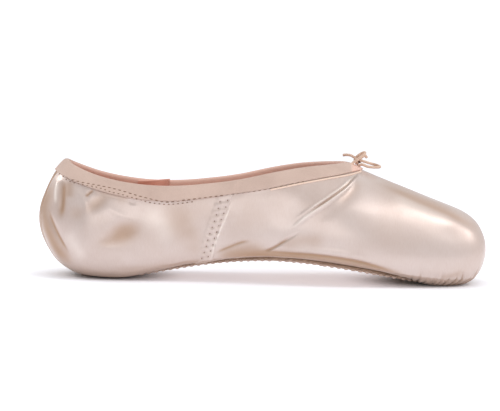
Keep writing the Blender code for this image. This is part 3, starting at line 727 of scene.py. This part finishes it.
satin, nodes, links, shader, tone = cloth_material(
    "peach_satin", SATIN_LIGHT, SATIN_DEEP, 0.36, 0.0011, (2.6, 0.5, 0.5), 0.030, 0.12, 0.0002)
shader.inputs["Metallic"].default_value = 0.30
shader.inputs["Sheen Weight"].default_value = 0.12
shader.inputs["Sheen Roughness"].default_value = 0.4
shader.inputs["Coat Weight"].default_value = 0.12
shader.inputs["Coat Roughness"].default_value = 0.28
gloss = nodes.new("ShaderNodeMapRange")
gloss.inputs["From Min"].default_value = 0.0
gloss.inputs["From Max"].default_value = 1.0
gloss.inputs["To Min"].default_value = 0.40
gloss.inputs["To Max"].default_value = 0.31
links.new(tone.outputs["Result"], gloss.inputs["Value"])
# Painted shade: one attribute mixes the satin's colour towards brown and makes it a little rougher
painted_shade_node = nodes.new("ShaderNodeAttribute")
painted_shade_node.attribute_name = "painted_shade"
duller = nodes.new("ShaderNodeMath")
duller.operation = "MULTIPLY_ADD"
duller.inputs[1].default_value = 0.12
links.new(painted_shade_node.outputs["Fac"], duller.inputs[0])
links.new(gloss.outputs["Result"], duller.inputs[2])
links.new(duller.outputs[0], shader.inputs["Roughness"])
weave_colour = shader.inputs["Base Color"].links[0].from_socket
painted_shade_mix = nodes.new("ShaderNodeMix")
painted_shade_mix.data_type = "RGBA"
painted_shade_mix.inputs["B"].default_value = (*SATIN_PAINTED_SHADE, 1)
links.new(painted_shade_node.outputs["Fac"], painted_shade_mix.inputs["Factor"])
links.new(weave_colour, painted_shade_mix.inputs["A"])
# Painted highlights: another attribute mixes the satin's colour towards near-white
painted_highlight_node = nodes.new("ShaderNodeAttribute")
painted_highlight_node.attribute_name = "painted_highlight"
painted_highlight_mix = nodes.new("ShaderNodeMix")
painted_highlight_mix.data_type = "RGBA"
painted_highlight_mix.inputs["B"].default_value = (*SATIN_PAINTED_HIGHLIGHT, 1)
links.new(painted_highlight_node.outputs["Fac"], painted_highlight_mix.inputs["Factor"])
links.new(painted_shade_mix.outputs["Result"], painted_highlight_mix.inputs["A"])
links.new(painted_highlight_mix.outputs["Result"], shader.inputs["Base Color"])

upper_neighbours = tree_of(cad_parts["binding"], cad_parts["outsole"])
satin_pieces = []
for name, wanted in (("satin_vamp", lambda c, n: is_outside(c, n) and is_vamp(c)),
                     ("satin_quarters", lambda c, n: is_outside(c, n) and not is_vamp(c))):
    piece = copy_of_node("upper", name)
    crease_sharp_edges(piece, SATIN_SHARP)
    keep_faces(piece, wanted)
    subdivide(piece, SATIN_LEVELS)
    smooth_lap(piece)
    refine_near_creases(piece)
    shape_satin(piece, upper_neighbours)
    piece.data.materials.append(satin)
    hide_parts("upper")
    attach(piece, "root")
    satin_pieces.append(piece)
vamp, quarters = satin_pieces

# Seam and binding stitches
# Lockstitches whose dark colour is partly the thread's own and partly painted shade for the needle holes
# and pits they sit in: two rows down each side seam, one along the binding's edge all the way round, and a
# second, uneven one below it at the heel. The sole's margin has one coarse row.
THREAD_AND_HOLE_SHADE = (0.26, 0.155, 0.105)
THREAD_WIDTH = 0.00060
STITCH_SINK = 0.0001
SEAM_STITCH = 0.0013
BINDING_PITCH = 2.8
BINDING_STITCH = 0.0019
BINDING_EDGE = ((-107.0, 54.3), (-104.8, 52.6), (-95.0, 50.3), (-84.0, 48.7), (-73.1, 46.6), (-64.0, 44.2),
                (-55.5, 42.3), (-48.3, 41.2), (-35.6, 43.1), (-17.2, 45.8), (-1.5, 48.3),
                (12.0, 51.4), (22.0, 53.5))
SECOND_ROW = ((-103.0, 51.2), (-98.6, 49.7), (-94.4, 49.0), (-86.4, 48.0), (-81.8, 47.0),
              (-77.2, 45.5), (-72.7, 44.7),
              (-68.8, 43.6), (-63.2, 42.3), (-59.3, 41.1), (-54.8, 40.4), (-49.2, 40.0),
              (-43.7, 40.4), (-36.0, 41.6))
SECOND_PITCH = 2.4
SECOND_STITCH = 0.0012
REACH = 0.10


def skin_at(skin, x, z, side):
    """The point and outward direction where a skin is met from one side at a place in the side view."""
    return skin.ray_cast(Vector((x, side * REACH, z)), Vector((0, -side, 0)), REACH)[:2]


def lay_copies(name, spots, size, cloth):
    """Copies of one small rounded piece as one piece, each spot a place and its ways along and outward."""
    bpy.ops.mesh.primitive_uv_sphere_add(segments=8, ring_count=5, radius=0.5)
    first = bpy.context.object
    first.scale = size
    bpy.ops.object.transform_apply(location=False, rotation=False, scale=True)
    first.data.shade_smooth()
    first.data.materials.append(cloth)
    made = []
    for place, along, outward in spots:
        along = (along - outward * along.dot(outward)).normalized()
        copy = first.copy()
        copy.data = first.data.copy()
        turn = Matrix((along, outward.cross(along), outward)).transposed().to_4x4()
        copy.matrix_world = Matrix.Translation(place) @ turn
        bpy.context.collection.objects.link(copy)
        made.append(copy)
    bpy.data.objects.remove(first)
    deselect_all()
    for copy in made:
        copy.select_set(True)
    bpy.context.view_layer.objects.active = made[0]
    bpy.ops.object.join()
    joined = bpy.context.object
    joined.name = name
    bpy.ops.object.transform_apply(location=True, rotation=True, scale=True)
    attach(joined, "root")
    return joined


def lay_stitches(name, rows, skin, size, sink, cloth):
    """Stitches along rows in the side view, on both sides of the shoe, sunk a little into a skin."""
    spots = []
    for points, pitch in rows:
        for (x, z), (dx, dz) in zip(*evenly_along(points, pitch)):
            for side in (-1, 1):
                place, normal = skin_at(skin, x / 1000, z / 1000, side)
                if place is not None:
                    outward = normal * math.copysign(1, normal.y * side)
                    spots.append((place - outward * sink, Vector((dx, 0, dz)), outward))
    return lay_copies(name, spots, size, cloth)


thread_with_painted_shade = new_material("thread_with_painted_shade", THREAD_AND_HOLE_SHADE, 0.7)[0]
satin_skin = tree_of(vamp, quarters)
lay_stitches("seam_stitches", [(row, SEAM_PITCH) for row in SEAM_ROWS], satin_skin,
             (SEAM_STITCH, THREAD_WIDTH, THREAD_WIDTH), STITCH_SINK, thread_with_painted_shade)

# Margin gathers
# The satin's margin round the leather sole. The coarse waxed stitching that holds the sole draws it
# over the skived leather edge in small gathers, one to each scallop.
GATHER_PITCH = 0.0037
GATHER_SPAN = (-0.066, 0.090)
GATHER_SIZE = (0.0029, 0.0016, 0.0017)
GATHER_SINK = 0.0001
GATHER_SEARCH = 0.6
GATHER_OUT = Vector((0, 0.55, -0.835))
GATHER_COLOUR = (0.60, 0.46, 0.38)

gather_cloth = new_material("gathered_satin", GATHER_COLOUR, 0.5)[0]
sole_edge = []
sole_points = np.array([vertex.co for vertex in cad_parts["outsole"].data.vertices])
for side in (-1, 1):
    row = []
    for x in np.arange(GATHER_SPAN[0], GATHER_SPAN[1], GATHER_PITCH):
        beside = sole_points[np.abs(sole_points[:, 0] - x) < GATHER_PITCH * GATHER_SEARCH]
        if len(beside):
            widest = beside[np.argmax(beside[:, 1] * side)]
            row.append(Vector(widest))
    for before, place, after in zip(row, row[1:], row[2:]):
        outward = Vector((0, GATHER_OUT.y * side, GATHER_OUT.z))
        sole_edge.append((place - outward * GATHER_SINK, after - before, outward))
lay_copies("margin_gathers", sole_edge, GATHER_SIZE, gather_cloth)

# Lining
# A coral-pink cotton drill glued inside the satin, from the collar down to the insole's edge.
# It is cut like the vamp and quarters and is lasted with them.
LINING_LEVELS = 2
EVEN_WEAVE = (1.0, 1.0, 1.0)
LINING_LIGHT = (0.90, 0.585, 0.475)
LINING_DEEP = (0.80, 0.49, 0.385)

lining = copy_of_node("upper", "lining")
keep_faces(lining, lambda c, n: not is_outside(c, n))
subdivide(lining, LINING_LEVELS)
coral_cloth = cloth_material(
    "coral_drill", LINING_LIGHT, LINING_DEEP, 0.85, 0.0005, EVEN_WEAVE, 0.025, 0.35, 0.0002)[0]
lining.data.materials.append(coral_cloth)
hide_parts("upper")
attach(lining, "root")

# Insole
# A thin sock of cotton drill inside the shoe, paler than the lining.
# It is pasted down over the upper's turned-in margin.
CLOTH_SHARP = math.radians(50)
SOCK_LIGHT = (0.76, 0.56, 0.44)
SOCK_DEEP = (0.66, 0.46, 0.35)

insole = copy_of_node("insole", "insole_sock")
crease_sharp_edges(insole, CLOTH_SHARP)
subdivide(insole, 1)
sock = cloth_material(
    "insole_cloth", SOCK_LIGHT, SOCK_DEEP, 0.9, 0.0006, EVEN_WEAVE, 0.03, 0.3, 0.0002)[0]
insole.data.materials.append(sock)
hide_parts("insole")
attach(insole, "root")

# Outsole
# One piece of pale leather, smaller than the shoe's underside and skived thin at its edge.
# It is glued on and drawn to the upper by a stitch in every scallop.
LEATHER_SHARP = math.radians(60)
LEATHER_LIGHT = (0.60, 0.43, 0.32)
LEATHER_DEEP = (0.42, 0.28, 0.20)

outsole = copy_of_node("outsole", "leather_sole")
crease_sharp_edges(outsole, LEATHER_SHARP)
subdivide(outsole, 1)
leather = cloth_material(
    "sole_leather", LEATHER_LIGHT, LEATHER_DEEP, 0.62, 0.0007, EVEN_WEAVE, 0.018, 0.4, 0.0003)[0]
outsole.data.materials.append(leather)
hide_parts("outsole")
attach(outsole, "root")

# Binding
# A cotton tape folded over the collar's edge and stitched through all its layers.
# It is also the drawstring's casing, with its mouth at the throat.
RIPPLE_SIZE = 0.0065
RIPPLE_SEED = 21
RIPPLE_HEIGHT = 0.00022
# How far a face has to turn outwards to ripple, and inwards to be lining pink
RIPPLE_FACING = (0.2, 0.7)
PINK_FACING = (0.1, 0.6)
MOUTH_FADE = (0.0452, 0.0470)
BINDING_LIGHT = (0.67, 0.50, 0.42)
BINDING_DEEP = (0.57, 0.415, 0.345)
BINDING_PINK = (0.84, 0.555, 0.46)
BINDING_PINK_SHARE = 0.8

binding = copy_of_node("binding", "binding_tape")
crease_sharp_edges(binding, CLOTH_SHARP)
subdivide(binding, 2)
tape, nodes, links, shader = cloth_material(
    "binding_twill", BINDING_LIGHT, BINDING_DEEP, 0.8, 0.0005, EVEN_WEAVE, 0.02, 0.45, 0.0003)[:4]
shader.inputs["Sheen Weight"].default_value = 0.15
binding.data.materials.append(tape)
places = read_vectors(binding.data.vertices, "co")
normals = read_vectors(binding.data.vertex_normals, "vector")
facing_in = -normals[:, 1] * np.sign(places[:, 1])
ripple = soft_noise(places, RIPPLE_SIZE, RIPPLE_SEED) * RIPPLE_HEIGHT * ease(-facing_in, *RIPPLE_FACING)
binding.data.vertices.foreach_set("co", (places + normals * ripple[:, None]).ravel())
pink = ease(facing_in, *PINK_FACING) * BINDING_PINK_SHARE + ease(places[:, 0], *MOUTH_FADE)
binding.data.attributes.new("lining_side", "FLOAT", "POINT").data.foreach_set("value", np.clip(pink, 0, 1))
lining_side = nodes.new("ShaderNodeAttribute")
lining_side.attribute_name = "lining_side"
pink_mix = nodes.new("ShaderNodeMix")
pink_mix.data_type = "RGBA"
pink_mix.inputs["B"].default_value = (*BINDING_PINK, 1)
links.new(lining_side.outputs["Fac"], pink_mix.inputs["Factor"])
links.new(shader.inputs["Base Color"].links[0].from_socket, pink_mix.inputs["A"])
links.new(pink_mix.outputs["Result"], shader.inputs["Base Color"])
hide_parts("binding")
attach(binding, "root")

edge_skin = tree_of(binding, vamp, quarters)
lay_stitches("binding_stitches", [(BINDING_EDGE, BINDING_PITCH)], edge_skin,
             (BINDING_STITCH, THREAD_WIDTH, THREAD_WIDTH), STITCH_SINK, thread_with_painted_shade)
lay_stitches("second_row_stitches", [(SECOND_ROW, SECOND_PITCH)], edge_skin,
             (SECOND_STITCH, THREAD_WIDTH, THREAD_WIDTH), STITCH_SINK, thread_with_painted_shade)

# Hem strand
# The satin vamp's own turned edge, caught in the binding's stitching. From the waist up to the throat
# it shows below the tape as a thin bright roll.
HEM_WIDTH = 0.0010
HEM_STAND = 0.15
# The roll is coloured lighter than the satin it is turned from: a painted highlight along it
HEM_LIT_COLOUR = (0.86, 0.66, 0.54)
HEM_EDGE = ((3.0, 48.6), (8.0, 49.7), (18.9, 52.1), (33.0, 54.7), (46.6, 56.8), (51.2, 58.0), (53.6, 58.9))
HEM_STEP = 2.0


def cord_curve(name, points, diameter):
    """A round cord as a curve of one open spline, and its length."""
    line = smooth_line(points, 5)
    curve = bpy.data.curves.new(name, "CURVE")
    curve.dimensions = "3D"
    curve.bevel_depth = diameter / 2
    curve.bevel_resolution = 3
    curve.use_fill_caps = True
    spline = curve.splines.new("POLY")
    spline.points.add(len(line) - 1)
    spline.points.foreach_set("co", np.hstack([line, np.ones((len(line), 1))]).ravel())
    made = bpy.data.objects.new(name, curve)
    bpy.context.collection.objects.link(made)
    return made, float(np.linalg.norm(np.diff(line, axis=0), axis=1).sum())


def straight_mesh(piece):
    """Turns a curve into a smooth mesh."""
    work_on(piece)
    bpy.ops.object.convert(target="MESH")
    made = bpy.context.object
    made.data.shade_smooth()
    return made


hem_lit_cloth = new_material("turned_edge_painted_highlight", HEM_LIT_COLOUR, 0.5)[0]
for side, name in ((-1, "hem_strand_near"), (1, "hem_strand_far")):
    route = []
    for x, z in evenly_along(HEM_EDGE, HEM_STEP)[0]:
        place = skin_at(edge_skin, x / 1000, z / 1000, side)[0]
        if place is not None:
            route.append(place + Vector((0, side * HEM_WIDTH * HEM_STAND, 0)))
    strand = straight_mesh(cord_curve(name, route, HEM_WIDTH)[0])
    strand.data.materials.append(hem_lit_cloth)
    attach(strand, "root")

# Inner tab
# The stub of a coral elastic tape, sewn flat to the lining of the far quarter.
# Its cut end stands a little over the rim and slopes down to the rear.
TAB_SLOPE = 0.0022
TAB_SLOPE_START = 2.5
TAB_LIGHT = (0.88, 0.50, 0.40)
TAB_DEEP = (0.76, 0.39, 0.30)

tab = copy_of_node("inner_tab", "elastic_stub")
crease_sharp_edges(tab, CLOTH_SHARP)
subdivide(tab, 2)
tab_low, tab_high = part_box("inner_tab")
places = read_vectors(tab.data.vertices, "co")
rearward = (tab_high[0] - places[:, 0]) / (tab_high[0] - tab_low[0])
raised = ease(places[:, 2], tab_high[2] - TAB_SLOPE * TAB_SLOPE_START, tab_high[2])
places[:, 2] -= TAB_SLOPE * rearward * raised
tab.data.vertices.foreach_set("co", places.ravel())
tab_cloth = cloth_material(
    "coral_tape", TAB_LIGHT, TAB_DEEP, 0.8, 0.0005, EVEN_WEAVE, 0.01, 0.4, 0.0002)[0]
tab.data.materials.append(tab_cloth)
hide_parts("inner_tab")
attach(tab, "root")

# Drawstring
# One soft cotton cord runs round the collar inside the casing. Its two ends leave the casing's mouth at
# the throat and are tied there in a small tight bow.
CORD_DIAMETER = 0.0015
CORD_LIGHT = (0.80, 0.60, 0.48)
CORD_DEEP = (0.62, 0.42, 0.31)
NEAR_END = ((0.0407, -0.0140, 0.0590), (0.0436, -0.0100, 0.0592), (0.0453, -0.0066, 0.0600),
            (0.0466, -0.0046, 0.0617), (0.0484, -0.0046, 0.0632), (0.0504, -0.0046, 0.0647),
            (0.0521, -0.0042, 0.0659), (0.0532, -0.0030, 0.0669), (0.0530, -0.0015, 0.0675),
            (0.0515, -0.0008, 0.0669), (0.0498, -0.0007, 0.0657), (0.0486, 0.0003, 0.0644),
            (0.0494, 0.0016, 0.0637), (0.0512, 0.0020, 0.0643), (0.0527, 0.0030, 0.0652),
            (0.0540, 0.0036, 0.0654), (0.0548, 0.0037, 0.0644))
NEAR_EXIT = (0.0466, -0.0046, 0.0617)
FAR_END = ((0.0425, 0.0118, 0.0592), (0.0462, 0.0060, 0.0596), (0.0490, 0.0008, 0.0598),
           (0.0505, -0.0018, 0.0606), (0.0519, -0.0027, 0.0612), (0.0548, -0.0033, 0.0602),
           (0.0580, -0.0031, 0.0599), (0.0606, -0.0019, 0.0599), (0.0615, 0.0003, 0.0601),
           (0.0601, 0.0022, 0.0607), (0.0574, 0.0027, 0.0614), (0.0546, 0.0017, 0.0622),
           (0.0518, 0.0004, 0.0631), (0.0497, 0.0002, 0.0640), (0.0477, 0.0008, 0.0648),
           (0.0463, 0.0014, 0.0656), (0.0442, 0.0020, 0.0659), (0.0420, 0.0026, 0.0657))
FAR_EXIT = (0.0519, -0.0027, 0.0612)
KNOT_PLACE = Vector((0.0494, 0.0, 0.0629))
# A small dark sphere stands between the knot's turns: painted shade for the deep shade in the gap there
KNOT_SHADE_PLACE = (0.0504, -0.0038, 0.0625)
KNOT_SHADE_SIZE = (0.0013, 0.0016, 0.0011)
KNOT_SHADE_COLOUR = (0.05, 0.018, 0.012)
KNOT_TURNS = 2.6
KNOT_RADIUS = 0.0013
KNOT_LENGTH = 0.0024
KNOT_WOBBLE = 0.0003
KNOT_STEPS = 24

cord_cloth = cloth_material(
    "drawstring_cotton", CORD_LIGHT, CORD_DEEP, 0.8, 0.0003, EVEN_WEAVE, 0.004, 0.5, 0.0002)[0]
cord_cloth.node_tree.nodes["Principled BSDF"].inputs["Sheen Weight"].default_value = 0.2

turns = []
for step in range(KNOT_STEPS + 1):
    angle = 2 * math.pi * KNOT_TURNS * step / KNOT_STEPS
    across = -KNOT_LENGTH / 2 + KNOT_LENGTH * step / KNOT_STEPS + KNOT_WOBBLE * math.sin(angle * 0.5)
    turns.append((KNOT_PLACE.x + across, KNOT_PLACE.y + KNOT_RADIUS * math.cos(angle),
                  KNOT_PLACE.z + KNOT_RADIUS * math.sin(angle)))
knot = straight_mesh(cord_curve("drawstring_knot", turns, CORD_DIAMETER)[0])
knot.data.materials.append(cord_cloth)
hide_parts("bow_knot")
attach(knot, "root")

bpy.ops.mesh.primitive_uv_sphere_add(segments=12, ring_count=8, radius=0.5, location=KNOT_SHADE_PLACE)
painted_knot_shade = bpy.context.object
painted_knot_shade.name = "knot_painted_shade"
painted_knot_shade.scale = KNOT_SHADE_SIZE
bpy.ops.object.transform_apply(location=True, rotation=True, scale=True)
painted_knot_shade.data.shade_smooth()
painted_knot_shade.data.materials.append(new_material("knot_shade", KNOT_SHADE_COLOUR, 0.9)[0])
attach(painted_knot_shade, "root")

for name, points, leaves, nodes_replaced in (
        ("drawstring_near", NEAR_END, NEAR_EXIT, ("bow_loop_up", "bow_end_front")),
        ("drawstring_far", FAR_END, FAR_EXIT, ("bow_loop_forward", "bow_end_back"))):
    cord, cord_length = cord_curve(name, points, CORD_DIAMETER)
    cord.data.materials.append(cord_cloth)
    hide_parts(*nodes_replaced)
    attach(cord, "root")
